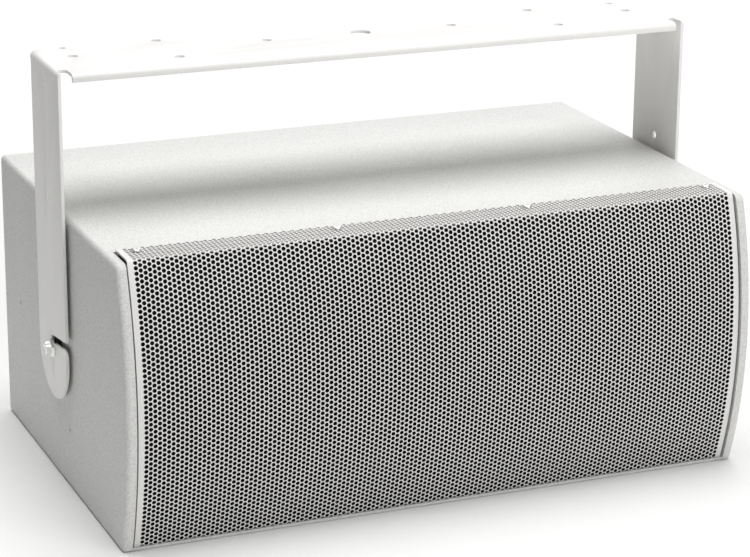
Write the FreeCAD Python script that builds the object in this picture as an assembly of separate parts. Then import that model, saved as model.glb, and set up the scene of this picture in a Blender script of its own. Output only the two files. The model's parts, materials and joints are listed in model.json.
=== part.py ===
import FreeCAD, Part
import math
import os

# Compact two-way loudspeaker box for a line array, with a tilting U-bracket.
# Millimetres. X is the width, the grille faces -Y, Z is up.
# The origin is the middle of the footprint, at the height of the bottom face.

Vector = FreeCAD.Vector
axisX = Vector(1, 0, 0)
axisY = Vector(0, 1, 0)
axisZ = Vector(0, 0, 1)

# Cabinet
cabinetWidth = 520.0
cabinetHeight = 226.0
cabinetDepth = 345.0
panel = 15.0                     # plywood thickness
edgeRound = 4.0                  # rounding of the outer edges
backRound = 4.0                  # rounding of the rear top and bottom edges
frontRound = 6.0                 # rounding of a cheek's upper front corner
lipRound = 3.5                   # rounding of a cheek's lower front corner
lipHeight = 3.0                  # thin lip under the grille

# Bowed front: arcs about one axis along X
bowRadius = 341.0                # outer face of the grille
cheekProud = 2.0                 # side panels stand proud of the grille
grilleSheet = 1.5
foamThick = 4.0
grilleHalf = 250.3               # half width of the grille
rebateHalf = 252.0               # half width of the rebate that holds it
rebateGap = 0.4                  # behind the foam
grilleFoot = 3.3                 # height of the grille's lower edge
grilleProud = 2.2                # the grille's folded top flange stands above the cabinet's top
flangeBack = -122.5              # rear edge of that flange
grilleBend = 3.5                 # outer radius of the fold
grilleScrewPlaces = (-237.0, -79.3, 79.3, 237.0)     # along X
grilleScrewInset = 9.2           # from the flange's rear edge

# Bracket
bracketSheet = 2.5
bracketGap = 3.0                 # between a leg and the cabinet's side
legWidth = 76.0
pivotY = 4.5
pivotZ = 112.0
legEndDrop = 2.5                 # centre of the leg's round end below the pivot
plateTop = 341.4
plateFront = -39.5
plateBack = 55.0
plateLip = 6.5                   # height of the folded front lip
bracketBend = 4.0                # outer bend radius
reliefWidth = 7.5                # relief slots beside the lip
reliefDepth = 12.0               # behind the legs' front edge
cornerCut = 9.5                  # sloped rear corners of the plate, along X
slotWidth = 6.8                  # hook slot for the pivot bolt
slotRise = 7.5                   # slot's centre line above the pivot
slotSlope = 7.4                  # degrees, rising towards the front
slotLipRound = 8.0               # rounding of the slot's lower corner at the leg's front edge
holeRowY = 18.9                  # middle row of holes in the plate
holeRowStep = 29.5
centreHoleRadius = 8.4
rowHoleRadius = 4.0
cornerHoleRadius = 2.9
wideHoleX = 162.0
nearHoleX = 79.8
endHoleX = 238.5
legHoleRadius = 3.3
legHoleHeights = (235.4, 328.0)

# Pivot bolt and washer
boltRadius = 3.0
boltFlangeRadius = 7.1
boltFlangeThick = 1.3
boltHexRadius = 5.8
boltHexHeight = 5.3
boltLength = 17.0
washerRadius = 8.5
runningGap = 0.1                 # between the bracket and the bolt's flange or the washer
clearHole = 0.2                  # radial clearance of screws in their holes

# Threaded inserts and plug screws in the sides: (Y, Z) places
plugPlaces = [(-18.5, 50.0), (-18.5, 176.0), (121.5, 112.0)]
insertRadius = 5.2
insertLength = 13.0
plugRadius = 2.5
plugHeadRadius = 4.8
plugHeadDepth = 2.3
plugLength = 12.0
hexKeyRadius = 1.9
hexKeyDepth = 1.6

# Panels inside the cabinet
baffleFront = -138.0
ledgeFront = -146.0              # front edge of the top and bottom panels
braceX = 80.0
braceThick = 9.0
braceWindow = (-95.0, 40.0, 135.0, 186.0)

# Woofers, on the front of the baffle; depths count from the baffle's front
wooferX = 163.0
wooferCutout = 71.5
basketRadius = 79.0
basketLip = 4.0
basketProfile = [(66, -4), (79, -4), (79, 0), (71, 0), (51, 36), (47, 40), (47, 50), (30, 50),
                 (30, 48), (45, 48), (45, 38), (40, 38), (40, 36), (49, 36), (69, 0), (66, 0)]
basketWindow = 46.0              # width of each of the four windows
basketWindowInner = 46.0         # and where they begin, from the axis
basketWindowDepths = (7.0, 31.0)
coneProfile = [(13.4, 25), (59.2, -4), (60.4, -4), (13.4, 26.2)]
dustCapRadius = 19.2
dustCapRim = 20.5
dustCapHeight = 8.5
dustCapThick = 0.6
spiderFront = 34.2
spiderWave = 1.0
spiderWaves = 8
spiderPitch = 4.0
spiderRim = 45.0
spiderThick = 0.8
coilInner = 12.8
coilOuter = 13.4
coilFront = 24.0
coilBack = 60.0
wooferPlateRadius = 42.0
wooferGapRadius = 14.2
poleRadius = 12.2
topPlateFront = 50.0
magnetFront = 56.0
magnetBack = 70.0
magnetBore = 24.0
magnetRadius = 44.0
polePlateBack = 76.0
rollCentre = 64.75               # half-roll surround
rollOuter = 5.25
rollInner = 4.65
wooferScrewCircle = 74.5
screwRadius = 2.0
screwHead = 3.8
screwHeadHeight = 2.2
screwLength = 14.0
screwKey = 1.6                   # radius of the hexagon recess in a head

# Horn and compression driver
hornMouthX = 68.0
hornMouthZ = 86.0
hornWall = 3.0
hornFlangeX = 78.0
hornFlangeZ = 95.0
hornDepth = 96.0
throatRadius = 12.7
throatFlange = 36.0
throatFlangeThick = 5.0
hornScrewX = 50.0
hornScrewZ = 90.5
throatBoltCircle = 30.0
driverRadius = 42.0
domeRadius = 21.5
domeHeight = 6.0
driverCoil = 0.4
driverPlate = 6.0                # thickness of the pole plate and the top plate
driverMagnetBore = 34.0
driverMagnetLength = 18.0
driverGap = 1.2                  # around the voice coil in the top plate
poleWall = 0.6                   # the pole's tube stays inside the coil by this
driverCoilLength = 7.0
driverSurroundRadius = 31.0
spacerBore = 27.0
spacerThick = 2.0
coverGap = 0.5
coverProfile = [(27, 0), (42, 0), (42, 20), (0, 20), (0, 17), (38, 17), (38, 6), (27, 6)]

# Crossover on the bottom panel
boardX = 60.0
boardFront = 40.0
boardBack = 130.0
boardZ = 21.0
boardThick = 1.6
standoffInset = 8.0
standoffRadius = 4.0
inductorPlaces = [(-30.0, 80.0), (30.0, 65.0)]
inductorRadius = 18.0
inductorBore = 8.0
inductorHeight = 16.0
capacitorPlaces = [(5.0, 92.0), (25.0, 92.0), (45.0, 92.0)]
capacitorRadius = 8.0
capacitorLength = 30.0
resistorPlaces = [(-50.0, 108.0), (-34.0, 108.0), (-18.0, 108.0)]
resistorSize = (10.0, 20.0, 9.0)

# Internal leads: corner points of their routes
leadRadius = 1.8
leadBend = 0.45                  # share of a run that each bend takes up
boardTop = boardZ + boardThick
wooferRoute = [(52, 70, boardTop), (52, 70, 44), (95, 44, 56), (140, -10, 52), (163, -70, 40),
               (163, -92, 48), (163, -92, 65.5)]
driverRoute = [(-6, 60, boardTop), (-6, 60, 42), (-4, 46, 66), (0, 34, 92), (0, 22, 108)]
inputRoute = [(56, 110, boardTop), (56, 110, 42), (52, 120, 66), (38, 118, 90)]
inputRunY = 128.0                # start of the straight run to the socket

# Wadding along the top and the back of each outer chamber
waddingFront = -60.0
waddingTopThick = 18.0
waddingBackThick = 20.0
waddingGap = 2.0                 # between the two layers
waddingBraceGap = 8.0
waddingSideGap = 4.0
waddingFoot = 6.0

# Connection plate in the rear panel
inputWidth = 150.0
inputHeight = 96.0
inputPocket = 6.0
inputSheet = 2.0
inputLedge = 8.0
inputScrewInset = 4.5
socketX = 32.0
socketFlange = 15.0
socketWell = 11.0
socketWall = 12.0
socketDepth = 9.0
socketBody = 24.0
socketRim = 2.5

halfWidth = cabinetWidth / 2
halfDepth = cabinetDepth / 2
middleZ = cabinetHeight / 2
innerHalf = halfWidth - panel
innerTop = cabinetHeight - panel
bowAxisY = bowRadius + cheekProud - halfDepth
cheekRadius = bowRadius + cheekProud
sheetInner = bowRadius - grilleSheet
foamInner = sheetInner - foamThick
flangeTop = cabinetHeight + grilleProud
underFoam = flangeTop - grilleSheet - foamThick
legInner = halfWidth + bracketGap
legOuter = legInner + bracketSheet
legFront = pivotY - legWidth / 2
legBack = pivotY + legWidth / 2
baffleBack = baffleFront + panel
rearInner = halfDepth - panel
grilleScrewY = flangeBack - grilleScrewInset
throatY = baffleFront - basketLip + hornDepth
inputBack = halfDepth - inputPocket
inputFace = inputBack + inputSheet


# Helpers

def save(node, *solids):
    # one node is one STEP file: a solid, or a group of separate solids
    shape = solids[0] if len(solids) == 1 else Part.makeCompound(list(solids))
    shape.exportStep("parts/" + node + ".step")


def block(low, high):
    size = Vector(*high) - Vector(*low)
    return Part.makeBox(size.x, size.y, size.z, Vector(*low))


def rod(radius, start, direction, length):
    return Part.makeCylinder(radius, length, Vector(*start), direction)


def hexagon(radius, start, direction, length):
    # prism with one corner up; radius reaches its corners
    sideways = direction.cross(axisZ)
    corners = []
    for corner in range(7):
        angle = math.radians(60 * corner)
        offset = axisZ * math.cos(angle) + sideways * math.sin(angle)
        corners.append(Vector(*start) + offset * radius)
    return Part.Face(Part.makePolygon(corners)).extrude(direction * length)


def turned(profile, centreX, frontY):
    # corners are (radius, depth) about an axis along Y; depth grows towards the rear
    corners = [Vector(centreX + radius, frontY + depth, middleZ) for radius, depth in profile]
    face = Part.Face(Part.makePolygon(corners + corners[:1]))
    return face.revolve(Vector(centreX, frontY, middleZ), axisY, 360)


def ring(inner, outer, centreX, frontY, depth):
    return turned([(inner, 0), (outer, 0), (outer, depth), (inner, depth)], centreX, frontY)


def dome(x, radius, rimY, height, thickness):
    # thin cap about an axis along Y; a negative height bulges to the front
    shoulderOut = 0.55
    shoulderUp = 0.72
    arcs = []
    for rise in (0, thickness):
        crown = Vector(x, rimY + height + rise, middleZ)
        shoulder = Vector(x + radius * shoulderOut, rimY + height * shoulderUp + rise, middleZ)
        arcs.append(Part.Arc(crown, shoulder, Vector(x + radius, rimY + rise, middleZ)))
    front, back = arcs
    rim = Part.makeLine(front.EndPoint, back.EndPoint)
    middle = Part.makeLine(back.StartPoint, front.StartPoint)
    face = Part.Face(Part.Wire([front.toShape(), rim, back.toShape(), middle]))
    solid = face.revolve(Vector(x, rimY, middleZ), axisY, 360)
    return solid if solid.Volume > 0 else solid.reversed()


def mirrored(shape):
    return shape.mirror(Vector(0, 0, 0), axisX)


def bowY(radius, height):
    # Y of the bowed surface of that radius, at that height
    return bowAxisY - math.sqrt(radius ** 2 - (height - middleZ) ** 2)


def bowedBlock(radius, lowX, highX, lowZ, highZ, backY):
    # prism along X with a bowed front and a flat top, bottom and back
    heights = (lowZ, (lowZ + highZ) / 2, highZ)
    lowFront, midFront, highFront = [Vector(lowX, bowY(radius, height), height) for height in heights]
    highBack = Vector(lowX, backY, highZ)
    lowBack = Vector(lowX, backY, lowZ)
    edges = [Part.Arc(lowFront, midFront, highFront).toShape()]
    edges += [Part.makeLine(highFront, highBack), Part.makeLine(highBack, lowBack)]
    edges.append(Part.makeLine(lowBack, lowFront))
    return Part.Face(Part.Wire(edges)).extrude(axisX * (highX - lowX))


def edgesAlongX(shape, lowY, highY, lowZ, highZ):
    # straight edges along X whose place is in the given range
    found = []
    for edge in shape.Edges:
        bounds = edge.BoundBox
        straight = bounds.XLength > 1 and bounds.YLength < 0.01 and bounds.ZLength < 0.01
        centre = edge.CenterOfMass
        if straight and lowY < centre.y < highY and lowZ < centre.z < highZ:
            found.append(edge)
    return found


def screw(start, direction):
    # pan head screw; start is the face under its head
    place = Vector(*start)
    head = rod(screwHead, place, direction * -1, screwHeadHeight)
    recess = hexagon(screwKey, place - direction * screwHeadHeight, direction, screwHeadHeight / 2)
    return head.cut(recess).fuse(rod(screwRadius, place, direction, screwLength))


def screwHole(shape, start, direction, length):
    return shape.cut(rod(screwRadius + clearHole, Vector(*start) - direction, direction, length + 1))


# Cabinet panels

def sidePanel():
    # left panel; its bowed front edge is the cheek beside the grille
    solid = bowedBlock(cheekRadius, -halfWidth, -innerHalf, 0, cabinetHeight, halfDepth)
    solid = solid.makeFillet(frontRound, edgesAlongX(solid, -halfDepth, 0, innerTop, cabinetHeight + 1))
    solid = solid.makeFillet(lipRound, edgesAlongX(solid, -halfDepth, 0, -1, panel))
    solid = solid.makeFillet(backRound, edgesAlongX(solid, rearInner, halfDepth + 1, -1, cabinetHeight + 1))
    outerEdges = [edge for edge in solid.Edges if edge.BoundBox.XMax < -halfWidth + 0.01]
    solid = solid.makeFillet(edgeRound, outerEdges)
    rebateFront = block((-rebateHalf, -halfDepth - 1, lipHeight), (0, flangeBack + 1, cabinetHeight + 1))
    kept = bowedBlock(foamInner - rebateGap, -rebateHalf - 1, 1, 0, underFoam - rebateGap, 0)
    solid = solid.cut(rebateFront.cut(kept))
    solid = solid.cut(rod(insertRadius, (-halfWidth - 1, pivotY, pivotZ), axisX, insertLength + 1))
    for placeY, placeZ in plugPlaces:
        solid = solid.cut(rod(insertRadius, (-halfWidth - 1, placeY, placeZ), axisX, insertLength + 1))
    return solid


def topPanel():
    solid = block((-innerHalf, ledgeFront, innerTop), (innerHalf, halfDepth, cabinetHeight))
    backEdge = edgesAlongX(solid, rearInner, halfDepth + 1, cabinetHeight - 1, cabinetHeight + 1)
    solid = solid.makeFillet(backRound, backEdge)
    stepHigh = (innerHalf + 1, flangeBack + 1, cabinetHeight + 1)
    step = block((-innerHalf - 1, ledgeFront - 1, underFoam), stepHigh)
    solid = solid.cut(step)
    for x in grilleScrewPlaces:
        solid = screwHole(solid, (x, grilleScrewY, flangeTop), -axisZ, screwLength)
    return solid


def bottomPanel():
    lipFront = bowY(cheekRadius, 0)
    solid = block((-innerHalf, ledgeFront, 0), (innerHalf, halfDepth, panel))
    lip = block((-innerHalf, lipFront, 0), (innerHalf, ledgeFront, lipHeight))
    lip = lip.makeFillet(lipHeight * 0.6, edgesAlongX(lip, lipFront - 1, lipFront + 1, -1, 1))
    solid = solid.makeFillet(backRound, edgesAlongX(solid, rearInner, halfDepth + 1, -1, 1))
    return solid.fuse(lip).removeSplitter()


def frontBaffle():
    solid = block((-innerHalf, baffleFront, panel), (innerHalf, baffleBack, innerTop))
    for side in (-1, 1):
        solid = solid.cut(rod(wooferCutout, (side * wooferX, baffleFront - 1, middleZ), axisY, panel + 2))
        for place in wooferScrewPlaces(side * wooferX, baffleFront):
            solid = screwHole(solid, place, axisY, screwLength)
    hornX = hornMouthX + hornWall + 1
    hornZ = hornMouthZ + hornWall + 1
    hornHole = block((-hornX, baffleFront - 1, middleZ - hornZ), (hornX, baffleBack + 1, middleZ + hornZ))
    solid = solid.cut(hornHole)
    for place in hornScrewPlaces(baffleFront):
        solid = screwHole(solid, place, axisY, screwLength)
    return solid


def brace(x):
    lowY, lowZ, highY, highZ = braceWindow
    solid = block((x - braceThick / 2, baffleBack, panel), (x + braceThick / 2, rearInner, innerTop))
    window = block((x - braceThick, lowY, lowZ), (x + braceThick, highY, highZ))
    return solid.cut(window)


def rearPanel():
    solid = block((-innerHalf, rearInner, panel), (innerHalf, halfDepth, innerTop))
    halfX = inputWidth / 2 + clearHole
    halfZ = inputHeight / 2 + clearHole
    pocket = block((-halfX, inputBack, middleZ - halfZ), (halfX, halfDepth + 1, middleZ + halfZ))
    halfX -= inputLedge
    halfZ -= inputLedge
    window = block((-halfX, rearInner - 1, middleZ - halfZ), (halfX, halfDepth, middleZ + halfZ))
    return solid.cut(pocket).cut(window)


# Grille

def bentSheet(radius, thickness, half, bend):
    # bowed front that folds back into a flat flange on top
    top = flangeTop - (bowRadius - radius)
    outer = bowedBlock(radius, -half, half, grilleFoot, top, flangeBack)
    corner = edgesAlongX(outer, -halfDepth, flangeBack - 1, top - 1, top + 1)
    outer = outer.makeFillet(bend, corner)
    inner = bowedBlock(radius - thickness, -half - 1, half + 1, 0, top - thickness, 0)
    if bend > thickness:
        corner = edgesAlongX(inner, -halfDepth, flangeBack - 1, top - thickness - 1, top)
        inner = inner.makeFillet(bend - thickness, corner)
    solid = outer.cut(inner)
    for x in grilleScrewPlaces:
        solid = screwHole(solid, (x, grilleScrewY, flangeTop), -axisZ, screwLength)
    return solid


def grilleScrews():
    return [screw((x, grilleScrewY, flangeTop), -axisZ) for x in grilleScrewPlaces]


# Bracket and its pivots

def hookSlot(lowX):
    # pocket that the bolt drops into, and the open slot that leads to it from the front edge
    depth = bracketSheet + 2
    radius = slotWidth / 2
    inner = Vector(lowX, pivotY, pivotZ + slotRise)
    pocket = rod(radius, (lowX, pivotY, pivotZ), axisX, depth)
    pocket = pocket.fuse(block((lowX, pivotY - radius, pivotZ), (lowX + depth, pivotY + radius, inner.z)))
    entry = block((lowX, pivotY - legWidth, inner.z - radius), (lowX + depth, pivotY, inner.z + radius))
    entry.rotate(inner, axisX, -slotSlope)
    return pocket.fuse(rod(radius, inner, axisX, depth)).fuse(entry)


def legMask():
    # outline of a leg in side view, and all of the plate above it
    endZ = pivotZ - legEndDrop
    lowX = -legOuter - 1
    width = 2 * legOuter + 2
    highX = lowX + width
    mask = block((lowX, legFront, endZ), (highX, legBack, plateTop + 1))
    mask = mask.fuse(rod(legWidth / 2, (lowX, pivotY, endZ), axisX, width))
    plate = block((lowX, plateFront - 1, plateTop - bracketBend), (highX, plateBack + 1, plateTop + 1))
    return mask.fuse(plate)


def channel():
    # endless U section: plate and two legs with bent corners
    low = pivotZ - legWidth
    outer = block((-legOuter, plateFront, low), (legOuter, plateBack, plateTop))
    inner = block((-legInner, plateFront - 1, low - 1), (legInner, plateBack + 1, plateTop - bracketSheet))
    for side in (-1, 1):
        corner = [edge for edge in outer.Edges if edge.BoundBox.XLength < 0.01
                  and edge.BoundBox.ZLength < 0.01 and edge.CenterOfMass.z > plateTop - 1
                  and edge.CenterOfMass.x * side > 0]
        outer = outer.makeFillet(bracketBend, corner)
        corner = [edge for edge in inner.Edges if edge.BoundBox.XLength < 0.01
                  and edge.BoundBox.ZLength < 0.01 and edge.CenterOfMass.z > plateTop - bracketSheet - 1
                  and edge.CenterOfMass.x * side > 0]
        inner = inner.makeFillet(bracketBend - bracketSheet, corner)
    return outer.cut(inner)


def plateCorner():
    # what is cut away at the plate's left end: the relief slot and the sloped rear corner
    low = plateTop - bracketBend - 1
    high = plateTop + 1
    radius = reliefWidth / 2
    slotEnd = legFront + reliefDepth - radius
    slot = block((-legInner, plateFront - 1, low), (-legInner + reliefWidth, slotEnd, high))
    slot = slot.fuse(rod(radius, (-legInner + radius, slotEnd, low), axisZ, high - low))
    outside = block((-legOuter - 1, plateFront - 1, low), (-legInner + reliefWidth, legFront, high))
    corners = [Vector(-legOuter - 1, legBack, low), Vector(-legOuter - 1, plateBack + 1, low),
               Vector(-legOuter + cornerCut, plateBack + 1, low)]
    slope = Part.Face(Part.makePolygon(corners + corners[:1])).extrude(axisZ * (high - low))
    return slot.fuse(outside).fuse(slope)


def frontLip():
    half = legInner - reliefWidth
    lip = block((-half, plateFront, plateTop - plateLip), (half, plateFront + bracketBend + 1, plateTop))
    corner = edgesAlongX(lip, plateFront - 1, plateFront + 1, plateTop - 1, plateTop + 1)
    lip = lip.makeFillet(bracketBend, corner)
    hollow = block((-half - 1, plateFront + bracketSheet, 0), (half + 1, 0, plateTop - bracketSheet))
    top = plateTop - bracketSheet
    corner = edgesAlongX(hollow, plateFront, -1, top - 1, plateTop)
    hollow = hollow.makeFillet(bracketBend - bracketSheet, corner)
    return lip.cut(hollow)


def plateHoles():
    places = [(0, holeRowY, centreHoleRadius)]
    for side in (-1, 1):
        for step in (-holeRowStep, holeRowStep):
            places.append((side * wideHoleX, holeRowY + step, rowHoleRadius))
        places.append((side * nearHoleX, holeRowY, rowHoleRadius))
        places.append((side * endHoleX, holeRowY, rowHoleRadius))
        places.append((side * endHoleX, holeRowY + holeRowStep, cornerHoleRadius))
    return [rod(radius, (x, y, plateTop - plateLip), axisZ, plateLip + 1) for x, y, radius in places]


def uBracket():
    solid = channel().common(legMask())
    cutFront = block((-legOuter, plateFront - 1, 0), (legOuter, plateFront + bracketBend, plateTop + 1))
    solid = solid.cut(cutFront).cut(plateCorner()).cut(mirrored(plateCorner()))
    solid = solid.fuse(frontLip()).removeSplitter()
    for hole in plateHoles():
        solid = solid.cut(hole)
    for height in legHoleHeights:
        solid = solid.cut(rod(legHoleRadius, (-legOuter - 1, pivotY, height), axisX, 2 * legOuter + 2))
    solid = solid.cut(hookSlot(-legOuter - 1)).cut(hookSlot(legInner - 1))
    slotMouth = pivotZ + slotRise + (pivotY - legFront) * math.tan(math.radians(slotSlope))
    lips = edgesAlongX(solid, legFront - 0.1, legFront + 0.1, slotMouth - slotWidth, slotMouth)
    return solid.makeFillet(slotLipRound, lips)


def pivotBolt():
    # left bolt: hexagon head with a flange, and a plain shank in place of the thread
    face = -legOuter - runningGap
    flange = rod(boltFlangeRadius, (face, pivotY, pivotZ), -axisX, boltFlangeThick)
    head = hexagon(boltHexRadius, (face - boltFlangeThick, pivotY, pivotZ), -axisX, boltHexHeight)
    shank = rod(boltRadius, (face, pivotY, pivotZ), axisX, boltLength)
    return flange.fuse(head).fuse(shank)


def spacerWasher():
    start = (-legInner + runningGap, pivotY, pivotZ)
    thickness = bracketGap - runningGap
    solid = rod(washerRadius, start, axisX, thickness)
    return solid.cut(rod(boltRadius + clearHole, start, axisX, thickness))


def pivotInsert():
    start = (-halfWidth, pivotY, pivotZ)
    solid = rod(insertRadius, start, axisX, insertLength)
    return solid.cut(rod(boltRadius + clearHole, start, axisX, insertLength))


def plugCone(place, growth):
    return Part.makeCone(plugHeadRadius + growth, plugRadius + growth, plugHeadDepth, place, axisX)


def riggingInsert(placeY, placeZ):
    start = Vector(-halfWidth, placeY, placeZ)
    solid = rod(insertRadius, start, axisX, insertLength)
    solid = solid.cut(rod(plugRadius + clearHole, start, axisX, insertLength))
    return solid.cut(plugCone(start, clearHole))


def plugScrew(placeY, placeZ):
    start = Vector(-halfWidth, placeY, placeZ)
    solid = plugCone(start, 0).fuse(rod(plugRadius, start, axisX, plugLength))
    return solid.cut(hexagon(hexKeyRadius, start, axisX, hexKeyDepth))


# Woofers

def wooferScrewPlaces(x, y):
    places = []
    for turn in range(4):
        angle = math.radians(45 + 90 * turn)
        offsetX = wooferScrewCircle * math.cos(angle)
        places.append((x + offsetX, y, middleZ + wooferScrewCircle * math.sin(angle)))
    return places


def basket(x):
    solid = turned(basketProfile, x, baffleFront)
    centre = Vector(x, baffleFront, middleZ)
    half = basketWindow / 2
    front, back = [baffleFront + depth for depth in basketWindowDepths]
    for turn in range(4):
        low = (x + basketWindowInner, front, middleZ - half)
        window = block(low, (x + basketRadius, back, middleZ + half))
        window.rotate(centre, axisY, 90 * turn)
        solid = solid.cut(window)
    for place in wooferScrewPlaces(x, baffleFront - basketLip):
        solid = screwHole(solid, place, axisY, screwLength)
    return solid


def surround(x):
    # half-roll of rubber between the cone's rim and the basket's flange
    solids = []
    for radius in (rollOuter, rollInner):
        left = Vector(x + rollCentre - radius, baffleFront - basketLip, middleZ)
        crown = Vector(x + rollCentre, baffleFront - basketLip - radius, middleZ)
        right = Vector(x + rollCentre + radius, baffleFront - basketLip, middleZ)
        wire = Part.Wire([Part.Arc(left, crown, right).toShape(), Part.makeLine(right, left)])
        solids.append(Part.Face(wire).revolve(Vector(x, baffleFront, middleZ), axisY, 360))
    return solids[0].cut(solids[1])


def spider(x):
    # corrugated disc that centres the voice coil
    front = []
    for wave in range(spiderWaves):
        front.append((coilOuter + spiderPitch * wave, spiderFront + spiderWave * (wave % 2)))
    front.append((spiderRim, spiderFront + spiderWave))
    back = [(radius, depth + spiderThick) for radius, depth in reversed(front)]
    return turned(front + back, x, baffleFront)


def dustCap(x):
    return dome(x, dustCapRadius, baffleFront + dustCapRim, -dustCapHeight, dustCapThick)


def polePlate(x):
    plateY = baffleFront + magnetBack
    poleY = baffleFront + topPlateFront
    plate = rod(wooferPlateRadius, (x, plateY, middleZ), axisY, polePlateBack - magnetBack)
    return plate.fuse(rod(poleRadius, (x, poleY, middleZ), axisY, plateY - poleY))


def saveWoofer(side, x):
    save(side + "_woofer_basket", basket(x))
    save(side + "_woofer_surround", surround(x))
    save(side + "_woofer_cone", turned(coneProfile, x, baffleFront))
    save(side + "_woofer_dust_cap", dustCap(x))
    save(side + "_woofer_spider", spider(x))
    coil = ring(coilInner, coilOuter, x, baffleFront + coilFront, coilBack - coilFront)
    save(side + "_woofer_voice_coil", coil)
    topPlateY = baffleFront + topPlateFront
    topPlate = ring(wooferGapRadius, wooferPlateRadius, x, topPlateY, magnetFront - topPlateFront)
    save(side + "_woofer_top_plate", topPlate)
    magnet = ring(magnetBore, magnetRadius, x, baffleFront + magnetFront, magnetBack - magnetFront)
    save(side + "_woofer_magnet", magnet)
    save(side + "_woofer_pole_plate", polePlate(x))


def wooferScrews():
    screws = []
    for x in (-wooferX, wooferX):
        screws += [screw(place, axisY) for place in wooferScrewPlaces(x, baffleFront - basketLip)]
    return screws


# Horn and compression driver

def hornScrewPlaces(y):
    return [(sideX * hornScrewX, y, middleZ + sideZ * hornScrewZ) for sideX in (-1, 1) for sideZ in (-1, 1)]


def hornSection(halfX, halfZ, y):
    signs = ((1, 1), (-1, 1), (-1, -1), (1, -1))
    corners = [Vector(signX * halfX, y, middleZ + signZ * halfZ) for signX, signZ in signs]
    return Part.makePolygon(corners + corners[:1])


def throatSection(radius, y):
    arcs = []
    for turn in range(4):
        angles = [math.radians(45 + 90 * turn + part) for part in (0, 45, 90)]
        points = [Vector(radius * math.cos(a), y, middleZ + radius * math.sin(a)) for a in angles]
        arcs.append(Part.Arc(*points).toShape())
    return Part.Wire(arcs)


def horn():
    front = baffleFront - basketLip
    outer = Part.makeLoft([hornSection(hornMouthX + hornWall, hornMouthZ + hornWall, front),
                           throatSection(throatRadius + hornWall, throatY)], True, True)
    inner = Part.makeLoft([hornSection(hornMouthX, hornMouthZ, front),
                           throatSection(throatRadius, throatY)], True, True)
    flangeHigh = (hornFlangeX, baffleFront, middleZ + hornFlangeZ)
    flange = block((-hornFlangeX, front, middleZ - hornFlangeZ), flangeHigh)
    back = rod(throatFlange, (0, throatY - throatFlangeThick, middleZ), axisY, throatFlangeThick)
    solid = outer.fuse(flange).fuse(back).cut(inner)
    for place in hornScrewPlaces(front):
        solid = screwHole(solid, place, axisY, screwLength)
    for x, y, z in throatBoltPlaces():
        solid = solid.cut(rod(screwRadius + clearHole, (x, y - 1, z), axisY, throatFlangeThick + 2))
    return solid


def throatBoltPlaces():
    places = []
    for turn in range(4):
        angle = math.radians(90 * turn)
        offsetX = throatBoltCircle * math.cos(angle)
        y = throatY - throatFlangeThick
        places.append((offsetX, y, middleZ + throatBoltCircle * math.sin(angle)))
    return places


def driverPole():
    plate = ring(throatRadius, driverRadius, 0, throatY, driverPlate)
    tubeLength = driverMagnetLength + driverPlate
    tube = ring(throatRadius, domeRadius - poleWall, 0, throatY + driverPlate, tubeLength)
    solid = plate.fuse(tube).removeSplitter()
    for x, y, z in throatBoltPlaces():
        solid = solid.cut(rod(screwRadius + clearHole, (x, y, z), axisY, screwLength))
    return solid


def saveDriver():
    coilOut = domeRadius + driverCoil
    magnetY = throatY + driverPlate
    topPlateY = magnetY + driverMagnetLength
    spacerY = topPlateY + driverPlate
    domeY = spacerY + spacerThick
    save("driver_pole_plate", driverPole())
    save("driver_magnet", ring(driverMagnetBore, driverRadius, 0, magnetY, driverMagnetLength))
    save("driver_top_plate", ring(domeRadius + driverGap, driverRadius, 0, topPlateY, driverPlate))
    save("driver_voice_coil", ring(domeRadius, coilOut, 0, domeY - driverCoilLength, driverCoilLength))
    save("driver_diaphragm", dome(0, coilOut, domeY, domeHeight, driverCoil))
    save("driver_surround", ring(coilOut, driverSurroundRadius, 0, domeY, driverCoil))
    save("driver_spacer_ring", ring(spacerBore, driverRadius, 0, spacerY, spacerThick))
    save("driver_rear_cover", turned(coverProfile, 0, domeY + coverGap))
    bolts = [screw((x, y, z), axisY) for x, y, z in throatBoltPlaces()]
    save("driver_bolts", *bolts)


# Crossover and leads

def crossoverBoard():
    return block((-boardX, boardFront, boardZ), (boardX, boardBack, boardZ + boardThick))


def standoffs():
    places = []
    for side in (-1, 1):
        x = side * (boardX - standoffInset)
        places += [(x, boardFront + standoffInset, panel), (x, boardBack - standoffInset, panel)]
    return [rod(standoffRadius, place, axisZ, boardZ - panel) for place in places]


def inductors():
    coils = []
    for x, y in inductorPlaces:
        coil = rod(inductorRadius, (x, y, boardTop), axisZ, inductorHeight)
        coils.append(coil.cut(rod(inductorBore, (x, y, boardTop), axisZ, inductorHeight)))
    return coils


def capacitors():
    axisHeight = boardTop + capacitorRadius
    return [rod(capacitorRadius, (x, y, axisHeight), axisY, capacitorLength) for x, y in capacitorPlaces]


def resistors():
    low = [Vector(x, y, boardTop) for x, y in resistorPlaces]
    return [block(corner, corner + Vector(*resistorSize)) for corner in low]


def lead(points):
    # round cable: straight runs joined by tangent arcs
    corners = [Vector(*point) for point in points]
    edges = []
    start = corners[0]
    for index in range(1, len(corners) - 1):
        before = corners[index - 1] - corners[index]
        after = corners[index + 1] - corners[index]
        turn = math.pi - before.getAngle(after)
        setback = leadBend * min(before.Length, after.Length)
        radius = setback / math.tan(turn / 2)
        before.normalize()
        after.normalize()
        bisector = before + after
        bisector.normalize()
        middle = corners[index] + bisector * (radius / math.cos(turn / 2) - radius)
        arcStart = corners[index] + before * setback
        arcEnd = corners[index] + after * setback
        edges.append(Part.LineSegment(start, arcStart).toShape())
        edges.append(Part.Arc(arcStart, middle, arcEnd).toShape())
        start = arcEnd
    edges.append(Part.LineSegment(start, corners[-1]).toShape())
    direction = corners[1] - corners[0]
    section = Part.Wire(Part.makeCircle(leadRadius, corners[0], direction))
    return Part.Wire(edges).makePipeShell([section], True, False)


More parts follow.
